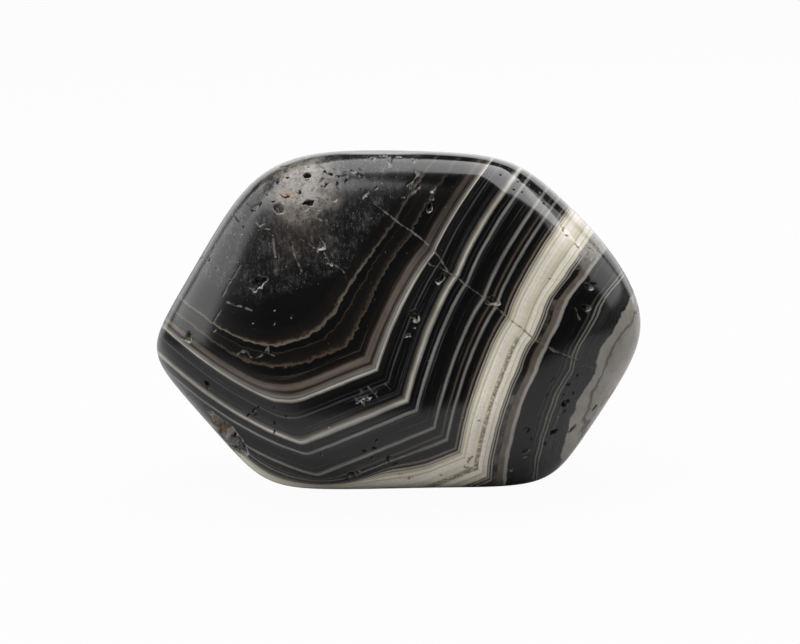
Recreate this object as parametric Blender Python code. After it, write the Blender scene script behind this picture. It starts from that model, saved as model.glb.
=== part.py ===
"""Banded onyx: one tumbled and polished stone, standing on a flat worn in its underside.

Metres, +Z up. The origin is the middle of the base of the stone's bounding box. The broad banded
face looks along -Y, and the stone leans back a little, so that this face looks slightly upwards.
The stone is shaped upright, with that face square on to -Y, and leans back at the end.
"""

import math

import bmesh
import bpy
from mathutils import Matrix, Vector, noise
from mathutils.bvhtree import BVHTree

MM = 0.001

# The sides of the outline, seen square on to the banded face: the direction that each one faces,
# anticlockwise from +X in degrees, and its distance from the middle of the stone in millimetres.
SIDES = {
    "top": (88.0, 14.7),
    "left_shoulder": (114.5, 17.2),
    "upper_left": (149.5, 17.6),
    "lower_left": (221.5, 18.2),
    "bottom": (270.5, 14.45),
    "lower_right": (327.0, 18.9),
    "right_end": (16.0, 20.7),
    "upper_right": (46.5, 17.4),
}
OUTLINE_CRISPNESS = 14.0  # the higher it is, the tighter the corners between the sides

# How far the middle of each face bulges from the plane of the outline, in millimetres, and how
# full the section is: 2 is an ellipse, and more is flatter with a tighter rim.
FACE_BULGE = 11.2
FACE_FULLNESS = 3.6
BACK_BULGE = 12.4
BACK_FULLNESS = 2.5

# Flats that the tumbling left on the two faces: the direction on the outline, the lean out of
# the plane of the outline towards the banded face in degrees, and the distance in millimetres.
FLATS = {
    "face": (96.0, 80.0, 10.4),
    "chin": (304.0, 46.0, 16.2),
    "temple": (48.0, 42.0, 16.9),
    "back_ridge": (140.0, -38.0, 15.2),
    "back_flank": (20.0, -45.0, 15.6),
    "back_heel": (250.0, -46.0, 14.6),
}
FLAT_CRISPNESS = 15.0

LEAN_BACK = math.radians(12.0)
REST_HEIGHT = -14.2 * MM  # the worn flat that the stone stands on, below its middle

# Slow swells that keep the polished skin from being a pure curve.
SWELL_SHARE = 0.004
SWELLS_PER_RADIUS = 1.7
SWELL_PLACE = Vector((3.1, 0.4, 7.7))

# Cells across, front to back and up the box that the skin is wrapped from, its proportions, and
# the angle by which the cells are evened out towards its corners.
CELLS = (30, 16, 20)
BOX = Vector((20.0, 11.5, 14.0))
EVENING = math.pi / 5.0
MERGE_GAP = 0.0001

# Chips and pits in the polished skin, where the stone was soft or cracked, in millimetres: how
# far right and up, seen square on to that face, then the length, width, depth, and the turn of
# the length in degrees anticlockwise from the right as seen from the banded side.
FACE_PITS = (
    (-7.8, 12.2, 0.7, 0.6, 0.45, 0.0),
    (-6.7, 6.0, 2.1, 0.9, 0.35, -24.0),
    (-11.1, 3.0, 1.2, 1.0, 0.40, 20.0),
    (-9.6, 9.1, 1.0, 0.8, 0.35, 60.0),
    (-7.6, 9.8, 1.3, 0.4, 0.35, 18.0),
    (-4.9, 4.0, 1.5, 0.4, 0.35, -42.0),
    (2.4, 9.1, 1.2, 0.7, 0.35, 78.0),
    (1.3, 0.4, 1.2, 0.8, 0.35, -65.0),
    (3.3, 3.3, 1.1, 0.45, 0.30, 50.0),
    (7.1, 1.5, 1.3, 0.8, 0.35, -20.0),
    (-2.9, -6.2, 1.5, 0.7, 0.35, 28.0),
    (-17.2, -1.3, 1.0, 0.7, 0.35, -60.0),
    (-16.1, -5.4, 0.8, 0.4, 0.40, -65.0),
    (-11.8, -7.1, 1.1, 0.5, 0.40, 35.0),
    (-3.9, -12.9, 1.2, 0.8, 0.50, 10.0),
    (15.7, 2.9, 0.9, 0.5, 0.35, -50.0),
    (15.5, 1.1, 0.9, 0.5, 0.35, 5.0),
    (13.9, -6.9, 1.0, 0.7, 0.50, 45.0),
    (13.0, -9.4, 0.9, 0.5, 0.40, 25.0),
    (14.6, -9.1, 0.9, 0.4, 0.40, 50.0),
    (16.5, -7.4, 1.0, 0.5, 0.40, 65.0),
    (10.6, -11.0, 0.8, 0.5, 0.40, 20.0),
)
BACK_PITS = (
    (-9.0, 4.5, 1.4, 0.8, 0.40, 35.0),
    (-3.5, -6.5, 1.0, 0.6, 0.40, -20.0),
    (6.5, 6.0, 1.2, 0.5, 0.35, 70.0),
    (11.0, -2.5, 0.9, 0.7, 0.40, 10.0),
)
PIT_RAGGEDNESS = 0.18  # how far a pit's wall strays from an oval, as a share of its size
PIT_WAVES = 1.3
WELL_OUTSIDE = 50.0 * MM  # where the line that finds a mark's place on the skin starts

# The open hollow broken into the lower left flank, its length along that flank.
HOLLOW_PLACE = (-14.6, -9.3)
HOLLOW_SIZE = (5.4, 2.6, 1.7)
HOLLOW_TURN = -47.0
HOLLOW_RAGGEDNESS = 0.22
HOLLOW_WAVES = 2.4

BANDED_BLACK = (0.035, 0.034, 0.036, 1.0)
POLISH = 0.12


def blend_planes(shares, crispness):
    """Distance to the rounded meeting of several planes, from each one's share of the way."""
    total = sum(max(0.0, share) ** crispness for share in shares)
    return total ** (-1.0 / crispness)


def outline_reach(angle):
    """Distance in mm from the middle to the outline, in this direction seen from the front."""
    shares = [math.cos(angle - math.radians(facing)) / far for facing, far in SIDES.values()]
    return blend_planes(shares, OUTLINE_CRISPNESS)


def flat_normal(facing, lean):
    """Outward direction of a flat, from its direction on the outline and its lean, in degrees."""
    turn = math.radians(facing)
    tip = math.radians(lean)
    return Vector((math.cos(turn) * math.cos(tip), -math.sin(tip), math.sin(turn) * math.cos(tip)))


def skin_reach(toward):
    """Distance in mm from the middle to the skin, in this direction."""
    bulge, fullness = (FACE_BULGE, FACE_FULLNESS) if toward.y < 0.0 else (BACK_BULGE, BACK_FULLNESS)
    flat_share = math.hypot(toward.x, toward.z) / outline_reach(math.atan2(toward.z, toward.x))
    deep_share = abs(toward.y) / bulge
    shares = [(flat_share**fullness + deep_share**fullness) ** (1.0 / fullness)]
    for facing, lean, far in FLATS.values():
        shares.append(toward.dot(flat_normal(facing, lean)) / far)
    swell = noise.noise(toward * SWELLS_PER_RADIUS + SWELL_PLACE)
    return blend_planes(shares, FLAT_CRISPNESS) * (1.0 + SWELL_SHARE * swell)


def add_box_side(mesh, across, up, out):
    """One side of the box as an even grid; each axis is its number, and out also has a sign."""
    axis, sign = out
    columns, rows = CELLS[across], CELLS[up]
    verts = []
    for row in range(rows + 1):
        for column in range(columns + 1):
            place = Vector((0.0, 0.0, 0.0))
            place[axis] = sign
            place[across] = 2.0 * column / columns - 1.0
            place[up] = 2.0 * row / rows - 1.0
            verts.append(mesh.verts.new(place))
    for row in range(rows):
        for column in range(columns):
            corner = row * (columns + 1) + column
            ring = [verts[corner + step] for step in (0, 1, columns + 2, columns + 1)]
            mesh.faces.new(ring)


def wrapped_stone():
    """A box's even grid of faces, pushed out to the stone's skin."""
    mesh = bmesh.new()
    for across, up, axis in ((0, 2, 1), (0, 1, 2), (1, 2, 0)):
        for sign in (-1.0, 1.0):
            add_box_side(mesh, across, up, (axis, sign))
    bmesh.ops.remove_doubles(mesh, verts=mesh.verts[:], dist=MERGE_GAP)
    for vert in mesh.verts:
        evened = Vector([math.tan(side * EVENING) / math.tan(EVENING) for side in vert.co])
        toward = (evened * BOX).normalized()
        vert.co = toward * skin_reach(toward) * MM
    bmesh.ops.recalc_face_normals(mesh, faces=mesh.faces[:])
    return mesh


def add_cutter(cutters, skin, place, size, turn, side, raggedness, waves, subdivisions):
    """A ragged oval, half sunk in the skin at this place. Side is -1 on the banded face, 1 behind."""
    right, up = place
    start = Vector((right * MM, side * WELL_OUTSIDE, up * MM))
    spot, outward, _, _ = skin.ray_cast(start, Vector((0.0, -side, 0.0)))
    angle = math.radians(turn)
    along = Vector((math.cos(angle), 0.0, math.sin(angle)))
    along = (along - outward * along.dot(outward)).normalized()
    frame = Matrix((along, outward.cross(along), outward)).transposed().to_4x4()
    length, width, depth = size
    ball = bmesh.ops.create_icosphere(cutters, subdivisions=subdivisions, radius=1.0)["verts"]
    for vert in ball:
        ragged = 1.0 + raggedness * noise.noise(vert.co * waves + spot / MM)
        oval = Vector((vert.co.x * length / 2.0, vert.co.y * width / 2.0, vert.co.z * depth))
        vert.co = spot + frame @ (oval * ragged * MM)


def make_cutters(skin):
    cutters = bmesh.new()
    for side, pits in ((-1.0, FACE_PITS), (1.0, BACK_PITS)):
        for right, up, length, width, depth, turn in pits:
            size = (length, width, depth)
            add_cutter(cutters, skin, (right, up), size, turn, side, PIT_RAGGEDNESS, PIT_WAVES, 2)
    add_cutter(
        cutters, skin, HOLLOW_PLACE, HOLLOW_SIZE, HOLLOW_TURN, -1.0, HOLLOW_RAGGEDNESS, HOLLOW_WAVES, 4
    )
    return cutters


def wear_resting_flat(mesh):
    """Cuts the underside off level, and closes the cut with one flat face."""
    everything = mesh.verts[:] + mesh.edges[:] + mesh.faces[:]
    level = Vector((0.0, 0.0, REST_HEIGHT))
    bmesh.ops.bisect_plane(mesh, geom=everything, plane_co=level, plane_no=(0.0, 0.0, -1.0), clear_outer=True)
    rim = [edge for edge in mesh.edges if edge.is_boundary]
    bmesh.ops.contextual_create(mesh, geom=rim)


def middle_of_base(mesh):
    low = [min(vert.co[axis] for vert in mesh.verts) for axis in range(3)]
    high = [max(vert.co[axis] for vert in mesh.verts) for axis in range(3)]
    return Vector(((low[0] + high[0]) / 2.0, (low[1] + high[1]) / 2.0, low[2]))


def make_object(name, mesh):
    data = bpy.data.meshes.new(name)
    mesh.to_mesh(data)
    mesh.free()
    thing = bpy.data.objects.new(name, data)
    bpy.context.scene.collection.objects.link(thing)
    return thing


def polished_stone_material():
    material = bpy.data.materials.new("onyx")
    material.use_nodes = True
    surface = material.node_tree.nodes["Principled BSDF"]
    surface.inputs["Base Color"].default_value = BANDED_BLACK
    surface.inputs["Roughness"].default_value = POLISH
    surface.inputs["Metallic"].default_value = 0.0
    return material


def main():
    for old in list(bpy.data.objects):
        bpy.data.objects.remove(old)
    stone_mesh = wrapped_stone()
    cutter_mesh = make_cutters(BVHTree.FromBMesh(stone_mesh))
    lean = Matrix.Rotation(-LEAN_BACK, 4, "X")
    stone_mesh.transform(lean)
    cutter_mesh.transform(lean)
    wear_resting_flat(stone_mesh)
    stand = Matrix.Translation(-middle_of_base(stone_mesh))
    stone_mesh.transform(stand)
    cutter_mesh.transform(stand)
    stone = make_object("onyx", stone_mesh)
    stone.data.shade_smooth()
    stone.data.materials.append(polished_stone_material())
    cutter = make_object("chips_and_pits", cutter_mesh)
    cutter.hide_render = True
    cutter.display_type = "WIRE"
    chipping = stone.modifiers.new("chipping", "BOOLEAN")
    chipping.operation = "DIFFERENCE"
    chipping.solver = "EXACT"
    chipping.object = cutter


if __name__ == "__main__":
    main()
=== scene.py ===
"""Banded onyx: one tumbled, polished stone, standing on a flat worn in its underside.

The stone is shaped upright, in millimetres about its own middle, with its broad banded face square
on to -Y. It then leans back, is cut level underneath and stands where the frame's solid stands.
"""

import math

import bpy
import numpy as np
from mathutils import Matrix, Vector, noise


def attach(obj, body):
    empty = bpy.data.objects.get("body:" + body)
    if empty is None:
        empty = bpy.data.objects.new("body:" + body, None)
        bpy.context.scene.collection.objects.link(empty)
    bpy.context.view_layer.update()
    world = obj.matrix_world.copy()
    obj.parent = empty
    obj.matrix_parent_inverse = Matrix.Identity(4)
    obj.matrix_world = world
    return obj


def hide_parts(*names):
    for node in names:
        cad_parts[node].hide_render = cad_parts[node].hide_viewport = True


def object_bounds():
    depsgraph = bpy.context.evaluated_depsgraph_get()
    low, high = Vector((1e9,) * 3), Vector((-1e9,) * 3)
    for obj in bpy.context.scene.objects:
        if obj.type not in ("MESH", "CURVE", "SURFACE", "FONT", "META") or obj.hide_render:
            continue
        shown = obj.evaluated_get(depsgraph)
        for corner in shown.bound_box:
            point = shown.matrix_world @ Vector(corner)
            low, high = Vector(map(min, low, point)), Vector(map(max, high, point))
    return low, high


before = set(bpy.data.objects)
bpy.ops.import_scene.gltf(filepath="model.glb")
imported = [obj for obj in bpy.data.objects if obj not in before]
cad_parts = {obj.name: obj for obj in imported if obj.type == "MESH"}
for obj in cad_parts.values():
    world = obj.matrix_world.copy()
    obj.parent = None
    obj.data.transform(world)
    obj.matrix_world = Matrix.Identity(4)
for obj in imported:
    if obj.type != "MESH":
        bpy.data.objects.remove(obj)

bl_info = {
    "name": "Banded onyx",
    "version": (1, 0, 0),
    "blender": (4, 5, 0),
    "location": "3D View > Sidebar > Banded onyx",
    "description": "Makes a tumbled stone of banded onyx and the stage that it is shown on",
    "category": "Object",
}

MM = 0.001
CAD_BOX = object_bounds()

# The sides of the outline, seen square on to the banded face: the direction that each one faces,
# anticlockwise from +X in degrees, and its distance from the middle of the stone in millimetres.
SIDES = {
    "top": (88.0, 14.7),
    "left_shoulder": (114.5, 17.2),
    "upper_left": (149.5, 17.6),
    "lower_left": (221.5, 18.2),
    "bottom": (270.5, 14.45),
    "lower_right": (327.0, 18.9),
    "right_end": (16.0, 20.7),
    "upper_right": (46.5, 17.4),
}
OUTLINE_CRISPNESS = 14.0

# Flats that the tumbling left: the direction on the outline, the lean out of its plane towards
# the banded face, both in degrees, and the distance in millimetres.
FLATS = {
    "face": (96.0, 80.0, 10.4),
    "chin": (304.0, 46.0, 16.2),
    "temple": (48.0, 42.0, 16.9),
    "back_ridge": (140.0, -38.0, 15.2),
    "back_flank": (20.0, -45.0, 15.6),
    "back_heel": (250.0, -46.0, 14.6),
}
FLAT_CRISPNESS = 15.0
SWELL_SHARE = 0.004
SWELLS_PER_RADIUS = 1.7
SWELL_PLACE = Vector((3.1, 0.4, 7.7))

# The box that the skin is wrapped from: its cells across, front to back and up, its proportions,
# and the angle by which its corners are evened out.
CELLS = (114, 46, 80)
BOX = np.array((20.0, 11.5, 14.0))
EVENING = math.pi / 5.0

# Marks on the skin, in millimetres: how far right and up, seen square on to the banded face, then
# length, width and depth, and the turn of the length in degrees anticlockwise from the right.
DEEP_PITS = (
    (-7.8, 12.2, 0.7, 0.6, 0.45, 0.0),
    (-7.6, 9.8, 1.3, 0.4, 0.35, 18.0),
    (-16.1, -5.4, 0.8, 0.4, 0.40, -65.0),
    (-3.9, -12.9, 1.2, 0.8, 0.50, 10.0),
    (13.9, -6.9, 1.0, 0.7, 0.50, 45.0),
    (13.0, -9.4, 0.9, 0.5, 0.40, 25.0),
    (14.6, -9.1, 0.9, 0.4, 0.40, 50.0),
    (16.5, -7.4, 1.0, 0.5, 0.40, 65.0),
)
CHIPS = (
    (-11.8, 3.1, 1.6, 1.0, 0.40, 50.0),
    (-10.1, 9.4, 1.1, 0.8, 0.30, -80.0),
    (2.5, 9.5, 1.0, 0.6, 0.35, 85.0),
    (1.3, 0.4, 1.2, 0.75, 0.35, -65.0),
    (3.4, 3.5, 1.1, 0.5, 0.30, 55.0),
    (7.7, 1.6, 1.3, 0.9, 0.35, -20.0),
    (-17.7, -1.4, 1.1, 0.7, 0.30, -60.0),
    (15.7, 2.9, 0.9, 0.5, 0.35, -50.0),
    (15.5, 1.1, 0.9, 0.5, 0.35, 5.0),
    (10.6, -11.0, 0.8, 0.5, 0.40, 20.0),
)
BACK_PITS = (
    (-9.0, 4.5, 1.4, 0.8, 0.40, 35.0),
    (-3.5, -6.5, 1.0, 0.6, 0.40, -20.0),
    (6.5, 6.0, 1.2, 0.5, 0.35, 70.0),
    (11.0, -2.5, 0.9, 0.7, 0.40, 10.0),
)

# Small slits and pinholes, and small bright flakes: right, up, length, width and turn.
SLIT_DEPTH = 0.16
SLITS = (
    (-12.6, -7.9, 0.4, 0.25, 60.0),
    (-12.1, -7.4, 0.6, 0.35, 30.0),
    (-11.7, -7.2, 0.3, 0.25, 0.0),
    (-2.1, -5.9, 0.5, 0.3, -40.0),
    (-10.3, 11.6, 0.35, 0.28, 40.0),
    (-9.5, 12.0, 0.35, 0.26, 0.0),
    (-9.6, 12.6, 0.5, 0.15, 10.0),
    (-8.3, 10.8, 0.7, 0.24, -65.0),
    (-9.5, 10.3, 0.9, 0.2, -15.0),
    (-11.2, 10.6, 0.5, 0.15, 0.0),
    (-10.6, 10.0, 0.3, 0.15, 20.0),
    (-12.3, 9.3, 0.7, 0.15, -20.0),
    (-11.6, 9.8, 0.6, 0.14, 75.0),
    (-13.2, 7.9, 0.36, 0.22, 80.0),
    (-6.2, 11.4, 0.9, 0.16, 50.0),
    (-5.3, 11.5, 0.4, 0.18, 60.0),
    (-4.5, 11.7, 0.4, 0.16, 60.0),
    (-3.3, 12.2, 0.5, 0.16, -40.0),
    (-6.3, 12.5, 0.3, 0.2, 30.0),
    (-5.8, 12.3, 0.4, 0.16, -20.0),
    (-5.2, 12.1, 0.3, 0.2, -35.0),
    (8.5, 12.3, 0.24, 0.2, 0.0),
    (9.5, 12.4, 0.22, 0.18, 0.0),
    (10.0, 11.7, 0.26, 0.2, 0.0),
    (10.5, 11.9, 0.22, 0.2, 0.0),
    (10.9, 11.5, 0.22, 0.18, 0.0),
    (11.9, 10.9, 0.26, 0.2, 0.0),
    (12.2, 9.9, 0.22, 0.18, 0.0),
    (9.6, 11.0, 0.2, 0.18, 0.0),
    (10.3, 10.8, 0.24, 0.2, 0.0),
    (14.9, 3.8, 0.3, 0.2, 40.0),
    (13.7, -6.2, 0.35, 0.25, 20.0),
    (14.5, -6.1, 0.45, 0.25, 60.0),
    (14.8, -4.6, 0.3, 0.2, 0.0),
    (14.1, -5.4, 0.5, 0.25, 20.0),
    (13.8, -7.6, 0.4, 0.25, 40.0),
    (13.1, -8.3, 0.3, 0.22, 60.0),
    (13.7, -10.3, 0.45, 0.2, 50.0),
    (16.0, -1.25, 0.35, 0.16, 75.0),
    (12.3, -10.3, 0.5, 0.36, 15.0),
    (10.7, -9.1, 0.7, 0.16, -5.0),
    (11.0, -9.9, 0.6, 0.16, -60.0),
    (11.6, -8.1, 0.25, 0.14, 10.0),
    (12.8, -4.9, 0.75, 0.15, 48.0),
    (12.3, -6.1, 0.4, 0.14, 10.0),
    (-0.9, -11.5, 1.1, 0.45, 65.0),
    (-0.3, -11.9, 0.5, 0.35, 0.0),
    (-1.9, -10.0, 0.45, 0.28, 30.0),
    (-2.0, -10.6, 0.65, 0.18, 5.0),
    (-2.3, -11.4, 0.4, 0.25, 50.0),
    (-2.9, -10.9, 0.4, 0.25, 65.0),
    (-16.0, -5.9, 0.3, 0.2, 0.0),
    (-12.0, -7.9, 0.35, 0.18, 40.0),
    (-10.4, -7.2, 0.24, 0.14, 0.0),
    (-10.4, -8.5, 0.28, 0.18, 80.0),
    (-10.4, -9.2, 0.5, 0.22, 80.0),
    (-9.4, -8.0, 0.24, 0.16, 20.0),
    (-18.0, -6.3, 0.3, 0.16, -40.0),
    (-16.4, -7.2, 0.5, 0.16, -30.0),
)
FLAKE_DEPTH = 0.10
FLAKES = (
    (-3.1, -6.4, 1.4, 0.5, 25.0),
    (-6.6, 6.2, 0.9, 0.45, 65.0),
    (-5.8, 4.8, 0.55, 0.4, -30.0),
    (2.6, 10.9, 0.5, 0.25, 80.0),
    (0.7, -1.2, 0.5, 0.4, 30.0),
    (1.2, -0.6, 0.3, 0.2, 20.0),
    (-1.7, 14.4, 0.5, 0.2, 30.0),
    (-1.1, 14.5, 0.4, 0.2, -40.0),
    (0.3, 14.3, 0.5, 0.2, 10.0),
    (-7.7, 12.9, 0.5, 0.2, 10.0),
    (-7.7, 11.8, 0.6, 0.2, -20.0),
    (-3.9, 12.5, 0.5, 0.2, -30.0),
    (-5.5, 10.1, 0.5, 0.2, 20.0),
    (-2.9, 10.5, 0.7, 0.4, 50.0),
    (-1.9, 11.1, 0.5, 0.25, 50.0),
    (-2.2, 13.7, 0.6, 0.3, 20.0),
    (-1.4, 13.9, 0.7, 0.3, -10.0),
    (-0.8, 13.4, 0.6, 0.3, 30.0),
    (-0.1, 13.8, 0.5, 0.25, 0.0),
    (1.1, 13.4, 0.5, 0.15, -35.0),
    (2.8, 11.0, 0.5, 0.3, 75.0),
    (2.6, 10.2, 0.4, 0.25, 60.0),
    (-11.1, 7.7, 0.75, 0.22, -10.0),
    (0.3, 10.3, 0.3, 0.18, 0.0),
    (-12.5, 3.3, 0.2, 0.18, 0.0),
    (-10.4, 0.9, 0.16, 0.14, 0.0),
    (-10.4, -0.2, 0.32, 0.16, 85.0),
    (-9.0, 0.3, 0.3, 0.12, 80.0),
    (-12.2, -0.2, 0.16, 0.14, 0.0),
    (-15.4, -0.8, 0.3, 0.2, 30.0),
    (9.4, -12.6, 0.9, 0.25, 25.0),
    (9.3, -13.3, 0.25, 0.18, 0.0),
    (10.5, -11.5, 0.4, 0.2, 0.0),
    (-5.9, -8.8, 0.3, 0.2, 30.0),
    (-6.5, -11.1, 0.4, 0.12, -60.0),
    (-3.4, -12.6, 0.4, 0.2, 30.0),
    (14.5, -6.3, 0.4, 0.12, 60.0),
    (16.7, -7.8, 0.4, 0.2, 60.0),
    (-16.0, 5.2, 0.6, 0.2, 80.0),
    (-15.3, 4.4, 0.5, 0.2, -30.0),
)
STAIN_DEPTH = 0.06
STAINS = (
    (5.8, -11.6, 0.7, 0.35, 70.0),
    (5.6, -12.3, 0.5, 0.35, 0.0),
    (13.6, 7.8, 0.8, 0.2, -60.0),
    (14.1, 7.2, 0.5, 0.2, -20.0),
    (14.9, 6.3, 0.5, 0.14, -65.0),
    (16.1, 6.0, 0.6, 0.25, -40.0),
    (16.0, 5.2, 0.4, 0.3, 60.0),
    (12.5, 3.5, 0.3, 0.2, 10.0),
    (6.6, -8.3, 0.3, 0.2, 0.0),
    (8.0, -10.8, 0.2, 0.12, 40.0),
    (3.5, -13.0, 0.3, 0.2, 0.0),
    (0.8, -13.2, 0.7, 0.3, 70.0),
    (0.1, -12.9, 0.5, 0.16, -20.0),
    (1.2, -11.9, 0.8, 0.1, 65.0),
    (17.1, -5.7, 0.3, 0.2, 0.0),
    (5.2, -8.0, 0.3, 0.2, 0.0),
)

# Cracks, as the points that they run through, right and up in millimetres.
MAIN_CRACK = (
    (-2.2, 9.85), (-1.2, 9.1), (-0.1, 8.2), (1.2, 7.3), (2.1, 6.6), (2.9, 5.8), (3.5, 4.95),
    (4.05, 4.0), (4.7, 3.65), (5.55, 2.95), (6.4, 2.35), (7.2, 1.7), (8.5, 0.7), (9.4, -0.1),
    (10.15, -0.65), (11.2, -1.6), (12.2, -2.1), (12.75, -2.5), (13.7, -2.85), (14.8, -3.3),
)
PALE_CRACKS = (
    ((2.1, 4.95), (2.65, 4.6), (3.2, 4.5), (4.05, 4.0)),
    ((-6.3, 5.65), (-5.9, 5.0), (-5.3, 4.6), (-4.8, 4.25), (-4.6, 4.0), (-4.5, 3.6)),
    ((-8.4, 6.9), (-7.7, 6.55), (-7.2, 6.1), (-6.5, 5.9), (-6.25, 6.3), (-6.6, 6.9)),
    ((-7.9, 8.6), (-7.5, 8.8), (-7.0, 8.7), (-6.5, 8.4), (-6.1, 8.4), (-5.9, 7.9)),
    ((-8.0, 9.2), (-7.5, 9.5), (-7.1, 9.25), (-6.7, 9.3)),
    ((-12.0, 8.2), (-11.7, 7.95), (-11.3, 8.15)),
    ((-9.0, 6.6), (-8.8, 5.5), (-8.5, 4.9), (-8.2, 4.2)),
    ((-3.3, 11.1), (-3.1, 10.7), (-2.8, 10.9)),
    ((-5.9, 10.5), (-5.6, 10.7), (-5.3, 10.6)),
    ((-13.3, 4.6), (-13.75, 3.85), (-14.35, 3.0), (-14.8, 2.0)),
    ((-14.4, 1.6), (-13.8, 1.3), (-13.3, 1.25), (-12.3, 0.9)),
    ((-14.9, 0.9), (-15.3, 0.3), (-15.5, -0.1)),
    ((-13.5, -2.8), (-13.2, -2.6), (-12.7, -2.5), (-12.4, -3.0), (-11.9, -3.1), (-11.4, -2.85)),
    ((-11.4, -2.85), (-10.9, -2.2), (-10.9, -2.7), (-10.4, -2.9)),
    ((-17.3, 5.1), (-16.6, 5.4), (-15.9, 5.95)),
    ((1.15, 12.8), (1.5, 12.3), (1.0, 11.6), (0.55, 11.3)),
    ((0.1, 10.3), (0.9, 10.6), (1.65, 11.2)),
    ((14.6, 1.1), (14.8, 0.5), (15.0, 0.1)),
    ((15.2, -3.8), (15.8, -3.8), (16.3, -4.1)),
    ((18.4, -5.8), (17.8, -6.5), (17.3, -7.0), (16.4, -7.8)),
    ((14.0, -6.6), (13.5, -7.5), (13.2, -8.4), (12.9, -9.2)),
    ((-1.2, -5.2), (-0.7, -5.8)),
    ((-2.6, -5.5), (-1.9, -6.3)),
    ((-10.6, 6.9), (-10.5, 6.2), (-10.4, 5.4)),
)
DARK_CRACKS = (
    ((-6.9, 13.1), (-6.4, 12.8), (-5.9, 13.0), (-5.5, 12.7)),
    ((-6.4, 12.8), (-6.1, 12.3)),
    ((-5.3, 12.4), (-4.9, 12.1), (-4.4, 12.2)),
    ((-7.3, 10.9), (-6.9, 11.4), (-6.4, 11.9)),
    ((-12.9, 9.9), (-12.4, 9.6), (-11.9, 9.8), (-11.6, 10.5)),
    ((-13.9, 8.8), (-13.6, 8.4), (-13.3, 8.2)),
    ((-10.1, 13.0), (-9.7, 13.05)),
    ((-3.5, 12.9), (-3.1, 12.5)),
)
MAIN_CRACK_WIDTH = 0.11
PALE_CRACK_WIDTH = 0.08
CRACK_DEPTH = 0.04

# The side of a chip's rim that gets a painted highlight, lower right, and the rings in its shell-like floor.
PAINTED_GLINT_SIDE = np.array((0.5, 0.0, -0.87))
SHELL_RINGS = 17.0

# A brown glow in the core and the pale weathered corner over it, right and up in millimetres.
BROWN_GLOW = (-8.9, 7.6)
PALE_CORNER = (-8.4, 11.6)
PALE_CORNER_REACH = 4.2
BROWN_SPOT = (-9.8, 10.9)

# The open hollow broken into the lower left flank, its length along that flank, and its shelf.
HOLLOWS = (
    (-14.3, -9.8, 5.4, 2.4, 1.7, -47.0),
    (-14.8, -8.8, 3.2, 1.4, 0.8, -12.0),
)

# How far round the marks the skin is made finer, in millimetres, and the cuts made each time.
REFINING = ((0.22, 2), (0.07, 1))

# The growth bands, from the dark core outwards: where each one ends, in millimetres from the
# brightest line, its colour and how softly it gives way to the next.
BANDS = (
    (-10.50, "black", 0.30),
    (-9.66, "dusk", 0.40),
    (-9.42, "bark", 0.22),
    (-9.26, "umber", 0.16),
    (-8.96, "taupe", 0.10),
    (-8.10, "black", 0.10),
    (-7.96, "umber", 0.10),
    (-6.96, "dusk", 0.30),
    (-6.72, "bark", 0.24),
    (-6.56, "umber", 0.16),
    (-6.34, "earth", 0.08),
    (-5.62, "black", 0.10),
    (-5.54, "dusk", 0.07),
    (-5.40, "black", 0.07),
    (-5.28, "bark", 0.08),
    (-5.02, "dusk", 0.14),
    (-4.86, "bark", 0.16),
    (-4.70, "umber", 0.14),
    (-4.16, "taupe", 0.18),
    (-3.92, "umber", 0.16),
    (-3.70, "taupe", 0.12),
    (-3.54, "mist", 0.08),
    (-3.46, "fawn", 0.05),
    (-3.30, "silver", 0.10),
    (-3.20, "fawn", 0.12),
    (-3.02, "dusk", 0.14),
    (-2.72, "ink", 0.12),
    (-2.40, "black", 0.12),
    (-2.28, "charcoal", 0.08),
    (-2.06, "black", 0.10),
    (-1.90, "slate", 0.12),
    (-1.06, "black", 0.12),
    (-0.96, "charcoal", 0.08),
    (-0.88, "ink", 0.06),
    (-0.74, "charcoal", 0.08),
    (-0.48, "ink", 0.10),
    (-0.28, "earth", 0.14),
    (-0.10, "fawn", 0.12),
    (0.12, "silver", 0.14),
    (0.26, "fawn", 0.12),
    (0.64, "black", 0.10),
    (0.74, "charcoal", 0.08),
    (0.98, "black", 0.10),
    (1.22, "mist", 0.14),
    (1.36, "ink", 0.08),
    (1.50, "charcoal", 0.10),
    (2.40, "black", 0.10),
    (2.90, "dusk", 0.20),
    (3.14, "mist", 0.14),
    (3.54, "black", 0.08),
    (3.66, "bark", 0.08),
    (3.74, "dusk", 0.06),
    (3.92, "earth", 0.10),
    (4.22, "dusk", 0.12),
    (4.44, "mist", 0.14),
    (4.88, "black", 0.09),
    (4.97, "bark", 0.06),
    (5.06, "dusk", 0.06),
    (5.18, "bark", 0.08),
    (5.34, "taupe", 0.10),
    (5.43, "umber", 0.08),
    (5.54, "bark", 0.08),
    (5.68, "stone", 0.08),
    (5.76, "taupe", 0.06),
    (5.92, "sand", 0.08),
    (6.00, "sand", 0.05),
    (6.24, "cream", 0.06),
    (6.33, "sand", 0.08),
    (6.84, "ivory", 0.08),
    (6.92, "cream", 0.06),
    (7.26, "cream", 0.10),
    (7.36, "honey", 0.10),
    (7.46, "cream", 0.10),
    (7.66, "sand", 0.12),
    (8.06, "ivory", 0.10),
    (8.14, "sand", 0.06),
    (8.48, "cream", 0.08),
    (8.58, "taupe", 0.07),
    (8.70, "stone", 0.08),
    (8.82, "umber", 0.08),
    (8.94, "stone", 0.10),
    (9.40, "bark", 0.14),
    (9.92, "taupe", 0.16),
    (10.24, "stone", 0.12),
    (12.26, "black", 0.10),
    (12.38, "slate", 0.10),
    (12.68, "ink", 0.10),
    (12.82, "fawn", 0.10),
    (12.98, "ink", 0.09),
    (13.14, "fawn", 0.10),
    (15.10, "charcoal", 0.14),
    (16.00, "putty", 0.30),
    (16.12, "taupe", 0.20),
    (16.60, "stone", 0.40),
    (22.00, "putty", 0.40),
)
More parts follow.
